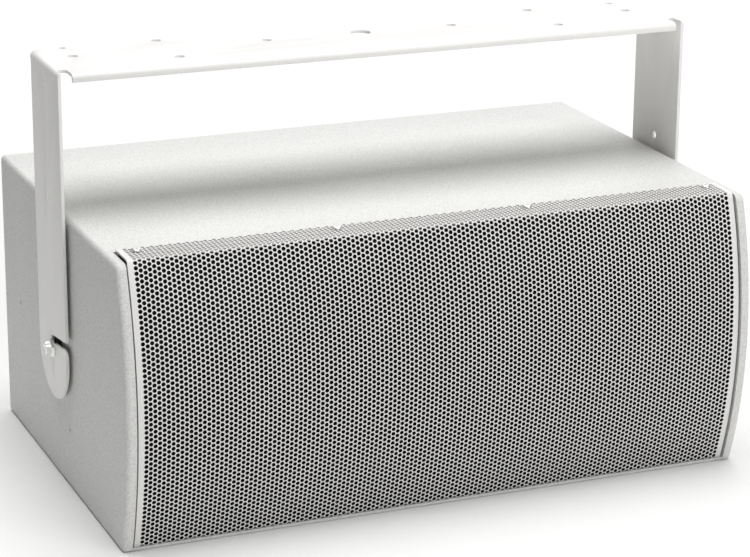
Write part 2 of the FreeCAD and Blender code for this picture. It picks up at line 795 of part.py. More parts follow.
def leads():
    coverBack = throatY + driverPlate + driverMagnetLength + driverPlate + spacerThick + coverGap
    coverBack += max(depth for radius, depth in coverProfile)
    left = [(-x, y, z) for x, y, z in wooferRoute]
    lastX, lastY, lastZ = driverRoute[-1]
    driver = driverRoute + [(lastX, coverBack, lastZ)]
    inputs = inputRoute + [(socketX, inputRunY, middleZ), (socketX, inputFace - socketBody, middleZ)]
    return [lead(route) for route in (left, wooferRoute, driver, inputs)]


def wadding():
    slabs = []
    backLayer = rearInner - waddingBackThick
    for side in (-1, 1):
        low, high = sorted((side * (braceX + waddingBraceGap), side * (innerHalf - waddingSideGap)))
        topLow = (low, waddingFront, innerTop - waddingTopThick)
        slabs.append(block(topLow, (high, backLayer - waddingGap, innerTop)))
        slabs.append(block((low, backLayer, panel + waddingFoot), (high, rearInner, innerTop)))
    return slabs


# Connection plate

def inputPlateScrewPlaces():
    x = inputWidth / 2 - inputScrewInset
    z = inputHeight / 2 - inputScrewInset
    return [(signX * x, inputFace, middleZ + signZ * z) for signX in (-1, 1) for signZ in (-1, 1)]


def inputPlate():
    halfX = inputWidth / 2
    halfZ = inputHeight / 2
    solid = block((-halfX, inputBack, middleZ - halfZ), (halfX, inputFace, middleZ + halfZ))
    for side in (-1, 1):
        hole = rod(socketWall + clearHole, (side * socketX, inputBack - 1, middleZ), axisY, inputSheet + 2)
        solid = solid.cut(hole)
    for place in inputPlateScrewPlaces():
        solid = screwHole(solid, place, -axisY, inputSheet)
    return solid


def socket(x):
    # round loudspeaker socket: a square flange, a well and a contact block at its bottom
    low = (x - socketFlange, inputFace, middleZ - socketFlange)
    mouth = inputFace + socketRim
    flange = block(low, (x + socketFlange, mouth, middleZ + socketFlange))
    barrel = rod(socketWall, (x, inputFace - socketBody, middleZ), axisY, socketBody)
    well = rod(socketWell, (x, mouth - socketDepth, middleZ), axisY, socketDepth)
    return flange.fuse(barrel).cut(well)


def saveInput():
    save("input_plate", inputPlate())
    save("left_input_socket", socket(-socketX))
    save("right_input_socket", socket(socketX))
    save("input_plate_screws", *[screw(place, -axisY) for place in inputPlateScrewPlaces()])


def saveCabinet():
    left = sidePanel()
    save("left_side_panel", left)
    save("right_side_panel", mirrored(left))
    save("top_panel", topPanel())
    save("bottom_panel", bottomPanel())
    rear = rearPanel()
    for x, y, z in inputPlateScrewPlaces():
        rear = screwHole(rear, (x, y, z), -axisY, screwLength)
    save("rear_panel", rear)
    save("front_baffle", frontBaffle())
    save("left_brace", brace(-braceX))
    save("right_brace", brace(braceX))
    save("damping_wadding", *wadding())


def saveGrille():
    save("grille", bentSheet(bowRadius, grilleSheet, grilleHalf, grilleBend))
    save("grille_foam", bentSheet(sheetInner, foamThick, grilleHalf, grilleBend - grilleSheet))
    save("grille_screws", *grilleScrews())


def saveBracket():
    save("u_bracket", uBracket())
    bolt = pivotBolt()
    save("left_pivot_bolt", bolt)
    save("right_pivot_bolt", mirrored(bolt))
    washer = spacerWasher()
    save("spacer_washers", washer, mirrored(washer))
    insert = pivotInsert()
    save("pivot_inserts", insert, mirrored(insert))
    inserts = [riggingInsert(y, z) for y, z in plugPlaces]
    save("rigging_inserts", *(inserts + [mirrored(item) for item in inserts]))
    plugs = [plugScrew(y, z) for y, z in plugPlaces]
    save("rigging_plug_screws", *(plugs + [mirrored(item) for item in plugs]))


def main():
    os.makedirs("parts", exist_ok=True)
    saveCabinet()
    saveGrille()
    saveBracket()
    saveWoofer("left", -wooferX)
    saveWoofer("right", wooferX)
    save("woofer_screws", *wooferScrews())
    save("horn", horn())
    save("horn_screws", *[screw(place, axisY) for place in hornScrewPlaces(baffleFront - basketLip)])
    saveDriver()
    save("crossover_board", crossoverBoard())
    save("crossover_standoffs", *standoffs())
    save("crossover_inductors", *inductors())
    save("crossover_capacitors", *capacitors())
    save("crossover_resistors", *resistors())
    save("internal_leads", *leads())
    saveInput()


main()
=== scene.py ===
import bpy
import bmesh
import json
import math
from mathutils import Matrix, Vector, noise


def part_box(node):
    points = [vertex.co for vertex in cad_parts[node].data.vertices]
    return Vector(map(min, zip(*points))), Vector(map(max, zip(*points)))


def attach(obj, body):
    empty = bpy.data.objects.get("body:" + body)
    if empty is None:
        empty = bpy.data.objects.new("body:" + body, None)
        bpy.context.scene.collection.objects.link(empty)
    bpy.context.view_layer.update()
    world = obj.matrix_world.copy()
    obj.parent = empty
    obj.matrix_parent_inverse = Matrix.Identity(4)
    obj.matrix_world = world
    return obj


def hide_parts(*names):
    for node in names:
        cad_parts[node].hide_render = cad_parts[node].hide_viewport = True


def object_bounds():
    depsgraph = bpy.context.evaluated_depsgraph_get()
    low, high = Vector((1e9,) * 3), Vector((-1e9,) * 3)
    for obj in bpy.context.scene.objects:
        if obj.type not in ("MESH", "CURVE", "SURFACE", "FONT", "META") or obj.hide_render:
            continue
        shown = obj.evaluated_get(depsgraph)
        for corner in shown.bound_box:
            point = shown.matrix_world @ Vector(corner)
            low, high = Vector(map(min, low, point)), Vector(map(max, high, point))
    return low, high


# Compact loudspeaker box with a bowed perforated grille and a tilting U-bracket.
# Metres, Z up, the grille faces -Y. Sizes in the dictionaries are in millimetres.

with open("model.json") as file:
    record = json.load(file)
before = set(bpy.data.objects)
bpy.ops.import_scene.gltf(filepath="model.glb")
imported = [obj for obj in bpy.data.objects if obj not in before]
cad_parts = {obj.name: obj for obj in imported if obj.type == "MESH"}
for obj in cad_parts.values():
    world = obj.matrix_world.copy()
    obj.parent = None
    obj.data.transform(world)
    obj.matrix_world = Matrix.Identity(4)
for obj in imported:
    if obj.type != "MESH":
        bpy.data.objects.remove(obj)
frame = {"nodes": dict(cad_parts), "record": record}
cadLow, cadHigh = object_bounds()
print("frame loaded:", len(frame["nodes"]), "CAD nodes")

mm = 0.001
weldDistance = 1e-6     # joins the loose triangles of a CAD mesh
shadeAngle = 35         # degrees; steeper edges stay crisp


# Small helpers

def addNode(tree, kind, inputs=None, **settings):
    # inputs gives some of the node's inputs a constant, or the socket that feeds them
    node = tree.nodes.new(kind)
    for name, value in settings.items():
        setattr(node, name, value)
    for name, value in (inputs or {}).items():
        if isinstance(value, bpy.types.NodeSocket):
            tree.links.new(value, node.inputs[name])
        else:
            node.inputs[name].default_value = value
    return node


def linearColour(hexText):
    channels = [int(hexText[i:i + 2], 16) / 255 for i in (1, 3, 5)]
    linear = [c / 12.92 if c <= 0.04045 else ((c + 0.055) / 1.055) ** 2.4 for c in channels]
    return (*linear, 1.0)


def linkObject(name, data, material=None):
    thing = bpy.data.objects.new(name, data)
    bpy.context.scene.collection.objects.link(thing)
    if material is not None:
        data.materials.clear()
        data.materials.append(material)
    return thing


def meshFrom(name, points, faces):
    mesh = bpy.data.meshes.new(name)
    mesh.from_pydata(points, [], faces)
    mesh.validate()
    return mesh


def shadeByAngle(mesh, degrees=shadeAngle):
    mesh.shade_smooth()
    mesh.set_sharp_from_angle(angle=math.radians(degrees))


def place(piece, body, slotName, *nodes):
    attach(piece, body)
    if nodes:
        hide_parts(*nodes)


def solidBoxes(nodeName):
    # boxes of a node's separate solids, one for each
    mesh = bmesh.new()
    mesh.from_mesh(frame["nodes"][nodeName].data)
    bmesh.ops.remove_doubles(mesh, verts=mesh.verts, dist=weldDistance)
    waiting = set(mesh.verts)
    boxes = []
    while waiting:
        found = [waiting.pop()]
        for vert in found:
            for edge in vert.link_edges:
                other = edge.other_vert(vert)
                if other in waiting:
                    waiting.remove(other)
                    found.append(other)
        low = Vector([min(v.co[i] for v in found) for i in range(3)])
        high = Vector([max(v.co[i] for v in found) for i in range(3)])
        boxes.append((low, high))
    mesh.free()
    return sorted(boxes, key=lambda box: tuple(round(c, 6) for c in box[0]))


# Camera

cameraSettings = {
    "location": (-0.7765, -1.8870, 0.8018),
    "heading": -22.54,      # degrees from +Y, towards +X
    "downTilt": 17.98,
    "roll": 0.445,
    "lens": 125.7,
    "sensor": 36.0,
}


def makeCamera(s):
    data = bpy.data.cameras.new("camera")
    data.lens = s["lens"]
    data.sensor_width = s["sensor"]
    camera = linkObject("camera", data)
    turn = Matrix.Rotation(math.radians(s["heading"]), 4, "Z")
    tilt = Matrix.Rotation(math.radians(90 - s["downTilt"]), 4, "X")
    roll = Matrix.Rotation(math.radians(s["roll"]), 4, "Z")
    camera.matrix_world = Matrix.Translation(s["location"]) @ turn @ tilt @ roll
    bpy.context.scene.camera = camera


makeCamera(cameraSettings)
print("camera placed")


# Finishes. Each pattern runs on Object coordinates. Grain is the real size of one grain, in
# millimetres along X, Y and Z, and relief is how deep it is. Colours and roughness go from the
# pattern's low parts to its high parts, and cloud is how far the tone drifts either way.

finishes = {
    # water-based paint sprayed on plywood and left pebbled: matt, with small rounded grains
    "textured_white_paint": dict(
        name="pebbled_sprayed_paint", kind="cells", grain=(1.5, 1.5, 1.5), relief=0.1,
        colours=("#D1D1CF", "#D9D9D7", "#DEDEDC"), rough=(0.62, 0.5), cloud=0.015),
    # polyester powder coat baked on steel: smooth satin skin with a faint orange peel
    "bracket_powder_coat": dict(
        name="powder_coated_bracket_steel", kind="noise", grain=(1.6, 1.6, 1.6), relief=0.012,
        colours=("#F0EFEC", "#F4F3F1", "#F7F6F4"), rough=(0.44, 0.36), cloud=0.015),
    # the same coat on thinner steel, a little less white
    "grille_powder_coat": dict(
        name="powder_coated_grille_steel", kind="noise", grain=(1.2, 1.2, 1.2), relief=0.008,
        colours=("#E0DFDD", "#E5E4E2", "#E9E8E6"), rough=(0.5, 0.42), cloud=0.01),
    # painted shade: the hole walls in the bow are coated like the sheet, but take a near-black
    # colour for the shade inside the holes, so each hole reads as a crisp dot
    "painted_shade_hole_wall": dict(
        name="punched_bare_edge", kind="noise", grain=(0.4, 0.4, 0.8), relief=0.01,
        colours=("#121212", "#181818", "#202020"), rough=(0.9, 0.8), cloud=0.05),
    # zinc-flake paint baked on steel: silver white with a metal's sheen, which catches the light
    "painted_steel_screw": dict(
        name="zinc_flake_painted_steel", kind="noise", grain=(0.7, 0.7, 0.7), relief=0.015,
        colours=("#EDEDEB", "#F6F6F4", "#FBFBFA"), rough=(0.38, 0.28), metallic=0.7, cloud=0.01),
    # open-cell polyurethane foam dyed black: a skeleton of tiny cells, no shine
    "black_foam": dict(
        name="open_cell_acoustic_foam", kind="cells", grain=(0.9, 0.9, 0.9), relief=0.35,
        colours=("#010101", "#050505", "#0A0A0A"), rough=(0.98, 0.9), cloud=0.2),
    # rotary-cut birch plies: long pale grain along X, seen only inside
    "birch_plywood": dict(
        name="birch_plywood", kind="noise", grain=(38, 1.4, 1.4), relief=0.05,
        colours=("#B48A5C", "#D2AE80", "#E0C197"), rough=(0.7, 0.55), cloud=0.12),
    # moulded rubber washers: dull black, soft edged
    "washer_rubber": dict(
        name="moulded_rubber", kind="noise", grain=(0.8, 0.8, 0.8), relief=0.03,
        colours=("#141414", "#1D1D1D", "#262626"), rough=(0.9, 0.75), cloud=0.1),
    # bright zinc on turned steel: fine turning marks, slightly bluish
    "zinc_plated_steel": dict(
        name="zinc_plated_turned_steel", kind="noise", grain=(3, 0.25, 0.25), relief=0.01,
        colours=("#9EA3A8", "#B9BDC0", "#CDD0D2"), rough=(0.42, 0.26), metallic=1.0, cloud=0.08),
    # painted die-cast aluminium: black with a faint cast grain
    "basket_casting": dict(
        name="painted_aluminium_casting", kind="noise", grain=(0.9, 0.9, 0.9), relief=0.04,
        colours=("#1A1B1C", "#262728", "#303132"), rough=(0.66, 0.5), cloud=0.1),
    # pressed paper pulp with short fibres, coated black against damp
    "cone_paper": dict(
        name="coated_paper_pulp", kind="noise", grain=(3.5, 0.5, 0.6), relief=0.06,
        colours=("#131313", "#1E1D1C", "#2B2A28"), rough=(0.92, 0.75), cloud=0.15),
    # butyl rubber: smooth dark satin
    "surround_rubber": dict(
        name="butyl_surround_rubber", kind="noise", grain=(1.1, 1.1, 1.1), relief=0.02,
        colours=("#101010", "#181818", "#202020"), rough=(0.72, 0.58), cloud=0.1),
    # resin-dipped cotton: threads half a millimetre apart
    "spider_cloth": dict(
        name="resin_dipped_cotton", kind="weave", grain=(0.5, 0.5, 0.5), relief=0.08,
        colours=("#8A6330", "#B58A4A", "#CBA468"), rough=(0.9, 0.78), cloud=0.12),
    # enamelled copper wire wound side by side: fine bright rings
    "copper_winding": dict(
        name="enamelled_copper_wire", kind="rings", grain=(0.4, 0.4, 0.4), relief=0.08,
        colours=("#7A3A16", "#B8622C", "#D98A4E"), rough=(0.4, 0.26), metallic=1.0, cloud=0.06),
    # sintered ferrite ground on its faces: dark grey, slightly porous
    "ferrite_magnet": dict(
        name="sintered_ferrite", kind="noise", grain=(0.6, 0.6, 0.6), relief=0.04,
        colours=("#26272A", "#36383B", "#44464A"), rough=(0.75, 0.55), cloud=0.1),
    # turned mild steel: bright with fine tool marks
    "motor_steel": dict(
        name="machined_mild_steel", kind="noise", grain=(0.3, 4, 0.3), relief=0.01,
        colours=("#8A8C8E", "#A4A6A8", "#B8BABB"), rough=(0.46, 0.3), metallic=1.0, cloud=0.1),
    # moulded ABS: even black satin
    "horn_plastic": dict(
        name="moulded_abs", kind="noise", grain=(0.8, 0.8, 0.8), relief=0.03,
        colours=("#121213", "#1A1A1B", "#222223"), rough=(0.58, 0.46), cloud=0.06),
    # drawn titanium foil: warm grey metal with drawing marks
    "titanium_dome": dict(
        name="drawn_titanium_foil", kind="noise", grain=(2, 0.4, 0.4), relief=0.01,
        colours=("#8C8A88", "#A8A6A4", "#BCBAB8"), rough=(0.38, 0.26), metallic=1.0, cloud=0.06),
    # glass-fibre epoxy under green solder mask: the weave shows through faintly
    "circuit_board": dict(
        name="solder_masked_glass_epoxy", kind="weave", grain=(0.6, 0.6, 0.6), relief=0.02,
        colours=("#0F3B1C", "#17552A", "#1F6A36"), rough=(0.4, 0.3), cloud=0.1),
    # glossy yellow film wound in turns
    "capacitor_film": dict(
        name="polyester_film_wrap", kind="rings", grain=(1.2, 1.2, 1.2), relief=0.01,
        colours=("#B08A1C", "#D6AE32", "#E4C250"), rough=(0.3, 0.2), cloud=0.05),
    # cast cement: rough off-white
    "cement_resistor": dict(
        name="cast_cement", kind="noise", grain=(0.5, 0.5, 0.5), relief=0.08,
        colours=("#C6C1B2", "#DAD6CA", "#E6E3D9"), rough=(0.92, 0.8), cloud=0.08),
    # natural nylon: creamy and smooth
    "nylon_standoff": dict(
        name="moulded_nylon", kind="noise", grain=(1.4, 1.4, 1.4), relief=0.01,
        colours=("#DCDACE", "#E6E4DA", "#EFEEE6"), rough=(0.5, 0.4), cloud=0.04),
    # extruded PVC: smooth black with a soft shine
    "lead_sheath": dict(
        name="extruded_pvc_sheath", kind="noise", grain=(1.2, 1.2, 1.2), relief=0.02,
        colours=("#151516", "#1E1E20", "#29292B"), rough=(0.5, 0.38), cloud=0.08),
    # loose polyester fibres, each far thinner than the drawn tufts, which stand for bundles of them
    "polyester_wadding": dict(
        name="carded_polyester_fibre", kind="noise", grain=(14, 2, 2), relief=1.2,
        colours=("#BFBEB8", "#DDDCD7", "#F0EFEC"), rough=(1.0, 0.9), cloud=0.1),
    # fine-textured black powder coat
    "input_plate_paint": dict(
        name="powder_coated_plate_steel", kind="cells", grain=(0.5, 0.5, 0.5), relief=0.03,
        colours=("#161617", "#202021", "#2A2A2B"), rough=(0.6, 0.48), cloud=0.06),
    # glass-filled nylon: blue-black satin
    "socket_nylon": dict(
        name="glass_filled_nylon", kind="noise", grain=(0.7, 0.7, 0.7), relief=0.02,
        colours=("#101215", "#191C20", "#23262B"), rough=(0.52, 0.4), cloud=0.05),
    # nickel-plated brass strip: pale gold, brushed along its length
    "contact_brass": dict(
        name="nickel_plated_contact_brass", kind="noise", grain=(1.5, 0.2, 0.2), relief=0.006,
        colours=("#A79A78", "#C8BC98", "#DAD0B0"), rough=(0.36, 0.24), metallic=1.0, cloud=0.05),
}


patternSettings = {
    "cellRange": (0.1, 0.75),       # distance from a cell's middle: its top, and its rim
    "waveScale": 0.32,              # makes a wave texture repeat once in each grain
    "weaveDistortion": 0.6,
    "ringDistortion": 0.3,
    "noiseDetail": 3.0,
    "noiseRoughness": 0.55,
    "rampStops": (0.25, 0.5, 0.75),
    "cloudScale": 11.0,             # about 90 mm from light to dark
    "cloudDetail": 2.0,
    "cloudRange": (0.3, 0.7),
}


def patternHeight(tree, look, grain, s):
    kind = look["kind"]
    if kind == "cells":
        cells = addNode(tree, "ShaderNodeTexVoronoi", {"Vector": grain, "Scale": 1.0},
                        feature="SMOOTH_F1")
        return addNode(tree, "ShaderNodeMapRange", {
            "Value": cells.outputs["Distance"], "From Min": s["cellRange"][0],
            "From Max": s["cellRange"][1], "To Min": 1.0, "To Max": 0.0}).outputs["Result"]
    if kind == "weave":
        across, along = [addNode(tree, "ShaderNodeTexWave", {
            "Vector": grain, "Scale": s["waveScale"], "Distortion": s["weaveDistortion"]},
            bands_direction=axis).outputs["Fac"] for axis in ("X", "Z")]
        return addNode(tree, "ShaderNodeMath", {0: across, 1: along},
                       operation="MULTIPLY").outputs["Value"]
    if kind == "rings":
        return addNode(tree, "ShaderNodeTexWave", {
            "Vector": grain, "Scale": s["waveScale"], "Distortion": s["ringDistortion"]},
            bands_direction="Y").outputs["Fac"]
    return addNode(tree, "ShaderNodeTexNoise", {
        "Vector": grain, "Scale": 1.0, "Detail": s["noiseDetail"],
        "Roughness": s["noiseRoughness"]}).outputs["Fac"]


def makeFinish(look, s):
    material = bpy.data.materials.new(look["name"])
    material.use_nodes = True
    tree = material.node_tree
    tree.nodes.clear()
    coordinates = addNode(tree, "ShaderNodeTexCoord").outputs["Object"]
    perMetre = [1 / (size * mm) for size in look["grain"]]
    grain = addNode(tree, "ShaderNodeMapping", {
        "Vector": coordinates, "Scale": perMetre}).outputs["Vector"]
    height = patternHeight(tree, look, grain, s)
    ramp = addNode(tree, "ShaderNodeValToRGB", {"Fac": height})
    ramp.color_ramp.elements.new(s["rampStops"][1])
    for stop, position, colour in zip(ramp.color_ramp.elements, s["rampStops"], look["colours"]):
        stop.position = position
        stop.color = linearColour(colour)
    # slow drift of tone over the surface
    cloud = addNode(tree, "ShaderNodeTexNoise", {
        "Vector": coordinates, "Scale": s["cloudScale"], "Detail": s["cloudDetail"]})
    drift = addNode(tree, "ShaderNodeMapRange", {
        "Value": cloud.outputs["Fac"], "From Min": s["cloudRange"][0],
        "From Max": s["cloudRange"][1], "To Min": 1 - look["cloud"],
        "To Max": 1 + look["cloud"]})
    # inputs 6 and 7 and output 2 are the colour sockets
    tinted = addNode(tree, "ShaderNodeMix", {
        "Factor": 1.0, 6: ramp.outputs["Color"], 7: drift.outputs["Result"]}, data_type="RGBA",
        blend_type="MULTIPLY")
    rough = addNode(tree, "ShaderNodeMapRange", {
        "Value": height, "To Min": look["rough"][0], "To Max": look["rough"][1]})
    bump = addNode(tree, "ShaderNodeBump", {
        "Strength": 1.0, "Distance": look["relief"] * mm, "Height": height})
    shader = addNode(tree, "ShaderNodeBsdfPrincipled", {
        "Metallic": look.get("metallic", 0.0), "Base Color": tinted.outputs[2],
        "Roughness": rough.outputs["Result"], "Normal": bump.outputs["Normal"]})
    addNode(tree, "ShaderNodeOutputMaterial", {"Surface": shader.outputs["BSDF"]})
    return material


materials = {slotName: makeFinish(look, patternSettings) for slotName, look in finishes.items()}
nodeSlots = {part["node"]: part["material_slot"] for part in frame["record"]["subparts"]}
# the inserts and plug screws in the sides are painted over with the cabinet
nodeLooks = dict(nodeSlots, rigging_inserts="textured_white_paint",
                 rigging_plug_screws="textured_white_paint")
for nodeName, slotName in nodeLooks.items():
    cadMesh = frame["nodes"][nodeName].data
    cadMesh.materials.clear()
    cadMesh.materials.append(materials[slotName])
print("finishes made:", len(materials))


# Geometry Nodes: building and running a tree

def newTree(name, inputs):
    tree = bpy.data.node_groups.new(name, "GeometryNodeTree")
    tree.interface.new_socket("Geometry", in_out="OUTPUT", socket_type="NodeSocketGeometry")
    for label, kind in inputs:
        tree.interface.new_socket(label, in_out="INPUT", socket_type="NodeSocket" + kind)
    return tree


def runTree(tree, name, values):
    carrier = linkObject(name + "_carrier", bpy.data.meshes.new(name + "_carrier"))
    modifier = carrier.modifiers.new("build", "NODES")
    modifier.node_group = tree
    for item in tree.interface.items_tree:
        if item.in_out == "INPUT":
            modifier[item.identifier] = values[item.name]
    evaluated = carrier.evaluated_get(bpy.context.evaluated_depsgraph_get())
    mesh = bpy.data.meshes.new_from_object(evaluated)
    mesh.name = name
    carrier.modifiers.remove(modifier)
    bpy.data.objects.remove(carrier)
    return linkObject(name, mesh)


# Perforated grille: a flat lattice of holes, given its thickness, then bent along the side profile

grilleSettings = {
    "holePitch": 4.0,           # between hole centres, staggered by half of it
    "holeRadius": 1.66,
    "holeSides": 12,
    "sheet": 1.4,               # thickness
    "columns": 142,
    "rows": 64,                 # full holes in a column; every column has one cut hole too
    "bowRadius": 341.0,
    "bowMiddle": 113.0,
    "bendRadius": 3.5,
    "bendSteps": 16,
    "profileStep": 0.5,
    "weld": 0.02,
    "leastMargin": 0.1,         # a narrower plain margin is left out
    "shadeAngle": 40,
    "pieces": {"grille_left": 48, "grille_middle": 47, "grille_right": 47},     # columns in each
}


def sideProfile(s, low, high):
    # outer face from the grille's foot, up the bow and round the bend, to the flange's rear edge
    bowRadius = s["bowRadius"] * mm
    bendRadius = s["bendRadius"] * mm
    step = s["profileStep"] * mm
    axisY = low.y + bowRadius
    middle = s["bowMiddle"] * mm
    bendZ = high.z - bendRadius
    bendAngle = math.asin((bendZ - middle) / (bowRadius - bendRadius))
    bendY = axisY - (bowRadius - bendRadius) * math.cos(bendAngle)
    footAngle = math.asin((low.z - middle) / bowRadius)
    points = []
    bowSteps = round((bendAngle - footAngle) * bowRadius / step)
    for i in range(bowSteps):
        angle = footAngle + (bendAngle - footAngle) * i / bowSteps
        points.append((0, axisY - bowRadius * math.cos(angle),
                       middle + bowRadius * math.sin(angle)))
    for i in range(s["bendSteps"]):
        angle = bendAngle + (math.pi / 2 - bendAngle) * i / s["bendSteps"]
        points.append((0, bendY - bendRadius * math.cos(angle),
                       bendZ + bendRadius * math.sin(angle)))
    flangeSteps = round((high.y - bendY) / step)
    for i in range(flangeSteps + 1):
        points.append((0, bendY + (high.y - bendY) * i / flangeSteps, high.z))
    return points


def curveFrom(name, points):
    data = bpy.data.curves.new(name, "CURVE")
    data.dimensions = "3D"
    spline = data.splines.new("POLY")
    spline.points.add(len(points) - 1)
    for target, point in zip(spline.points, points):
        target.co = (*point, 1)
    return linkObject(name, data)


def cellMesh(name, s, halves):
    # flat cell of the lattice round one hole, in one or two halves that meet at the hole's middle
    halfX = s["holePitch"] * math.sqrt(3) / 4 * mm
    halfY = s["holePitch"] / 2 * mm
    radius = s["holeRadius"] * mm
    sides = s["holeSides"]
    points, faces = [], []
    for sign in halves:
        first = len(points)
        points += [(-halfX, 0, 0), (-halfX, sign * halfY, 0), (halfX, sign * halfY, 0),
                   (halfX, 0, 0)]
        for i in range(sides // 2 + 1):
            angle = 2 * math.pi * i / sides
            points.append((radius * math.cos(angle), sign * radius * math.sin(angle), 0))
        face = list(range(first, len(points)))
        faces.append(face[::-1] if sign > 0 else face)
    return linkObject(name, meshFrom(name, points, faces))


def grilleTree(s):
    tree = newTree("perforated_grille", [
        ("Cell", "Object"), ("Half Cell", "Object"), ("Profile", "Object"), ("Columns", "Int"),
        ("Rows", "Int"), ("Divisions", "Int"), ("First Column", "Int"), ("Column Pitch", "Float"),
        ("Hole Pitch", "Float"), ("Half Pitch", "Float"), ("Length", "Float"),
        ("Half Length", "Float"), ("First X", "Float"), ("Left Margin", "Float"),
        ("Left Centre", "Float"), ("Right Margin", "Float"), ("Right Centre", "Float"),
        ("Depth", "Float"), ("Lattice Half", "Float"), ("Bend Height", "Float"),
        ("Material", "Material"), ("Painted Shade Material", "Material")])
    group = addNode(tree, "NodeGroupInput").outputs
    # one point for each column, with its parity
    firstPoint = addNode(tree, "ShaderNodeCombineXYZ", {"X": group["First X"]})
    columnStep = addNode(tree, "ShaderNodeCombineXYZ", {"X": group["Column Pitch"]})
    line = addNode(tree, "GeometryNodeMeshLine", {
        "Count": group["Columns"], "Start Location": firstPoint.outputs[0],
        "Offset": columnStep.outputs[0]})
    index = addNode(tree, "GeometryNodeInputIndex").outputs["Index"]
    number = addNode(tree, "ShaderNodeMath", {0: index, 1: group["First Column"]}, operation="ADD")
    parity = addNode(tree, "ShaderNodeMath", {0: number.outputs[0], 1: 2.0}, operation="MODULO")
    marked = addNode(tree, "GeometryNodeStoreNamedAttribute", {
        "Geometry": line.outputs["Mesh"], "Name": "odd", "Value": parity.outputs[0]},
        data_type="FLOAT", domain="POINT")
    odd = addNode(tree, "GeometryNodeInputNamedAttribute", {"Name": "odd"},
                  data_type="FLOAT").outputs["Attribute"]
    # full holes: a line of rows on each column's point, half a pitch lower on odd columns
    lower = addNode(tree, "ShaderNodeMath", {0: odd, 1: group["Half Pitch"]},
                    operation="MULTIPLY")
    startY = addNode(tree, "ShaderNodeMath", {0: group["Hole Pitch"], 1: lower.outputs[0]},
                     operation="SUBTRACT")
    start = addNode(tree, "ShaderNodeCombineXYZ", {"Y": startY.outputs[0]})
    rowStart = addNode(tree, "GeometryNodeSetPosition", {
        "Geometry": marked.outputs["Geometry"], "Offset": start.outputs[0]})
    rowStep = addNode(tree, "ShaderNodeCombineXYZ", {"Y": group["Hole Pitch"]})
    rowLine = addNode(tree, "GeometryNodeMeshLine", {
        "Count": group["Rows"], "Offset": rowStep.outputs[0]})
    rowsOn = addNode(tree, "GeometryNodeInstanceOnPoints", {
        "Points": rowStart.outputs["Geometry"], "Instance": rowLine.outputs["Mesh"]})
    lattice = addNode(tree, "GeometryNodeRealizeInstances", {
        "Geometry": rowsOn.outputs["Instances"]})
    cell = addNode(tree, "GeometryNodeObjectInfo", {"Object": group["Cell"]})
    cells = addNode(tree, "GeometryNodeInstanceOnPoints", {
        "Points": lattice.outputs["Geometry"], "Instance": cell.outputs["Geometry"]})
    # cut holes: at the foot of even columns and the rear edge of odd ones
    cutY = addNode(tree, "ShaderNodeMath", {0: odd, 1: group["Length"]}, operation="MULTIPLY")
    cutPlace = addNode(tree, "ShaderNodeCombineXYZ", {"Y": cutY.outputs[0]})
    cutStart = addNode(tree, "GeometryNodeSetPosition", {
        "Geometry": marked.outputs["Geometry"], "Offset": cutPlace.outputs[0]})
    halfCell = addNode(tree, "GeometryNodeObjectInfo", {"Object": group["Half Cell"]})
    halfTurn = addNode(tree, "ShaderNodeMath", {0: odd, 1: math.pi}, operation="MULTIPLY")
    cutTurn = addNode(tree, "ShaderNodeCombineXYZ", {"Z": halfTurn.outputs[0]})
    cutCells = addNode(tree, "GeometryNodeInstanceOnPoints", {
        "Points": cutStart.outputs["Geometry"], "Instance": halfCell.outputs["Geometry"],
        "Rotation": cutTurn.outputs[0]})
    # plain margins, divided where the lattice's corners meet them
    parts = [cells.outputs["Instances"], cutCells.outputs["Instances"]]
    for side in ("Left", "Right"):
        strip = addNode(tree, "GeometryNodeMeshGrid", {
            "Size X": group[side + " Margin"], "Size Y": group["Length"], "Vertices X": 2,
            "Vertices Y": group["Divisions"]})
        centre = addNode(tree, "ShaderNodeCombineXYZ", {
            "X": group[side + " Centre"], "Y": group["Half Length"]})
        moved = addNode(tree, "GeometryNodeTransform", {
            "Geometry": strip.outputs["Mesh"], "Translation": centre.outputs[0]})
        wide = addNode(tree, "ShaderNodeMath", {
            0: group[side + " Margin"], 1: s["leastMargin"] * mm}, operation="GREATER_THAN")
        chosen = addNode(tree, "GeometryNodeSwitch", {
            "Switch": wide.outputs[0], "True": moved.outputs["Geometry"]}, input_type="GEOMETRY")
        parts.append(chosen.outputs["Output"])
    joined = addNode(tree, "GeometryNodeJoinGeometry")
    for part in reversed(parts):
        tree.links.new(part, joined.inputs["Geometry"])
    flat = addNode(tree, "GeometryNodeRealizeInstances", {"Geometry": joined.outputs["Geometry"]})
    welded = addNode(tree, "GeometryNodeMergeByDistance", {
        "Geometry": flat.outputs["Geometry"], "Distance": s["weld"] * mm}).outputs["Geometry"]
    # thickness: the back is the front moved down, with its faces turned over
    down = addNode(tree, "ShaderNodeCombineXYZ", {"Z": group["Depth"]})
    extruded = addNode(tree, "GeometryNodeExtrudeMesh", {
        "Mesh": welded, "Offset": down.outputs[0], "Offset Scale": 1.0, "Individual": False},
        mode="FACES")
    back = addNode(tree, "GeometryNodeFlipFaces", {"Mesh": extruded.outputs["Mesh"]})
    both = addNode(tree, "GeometryNodeJoinGeometry")
    for part in (back.outputs["Mesh"], welded):
        tree.links.new(part, both.inputs["Geometry"])
    solid = addNode(tree, "GeometryNodeMergeByDistance", {
        "Geometry": both.outputs["Geometry"], "Distance": s["weld"] * mm})
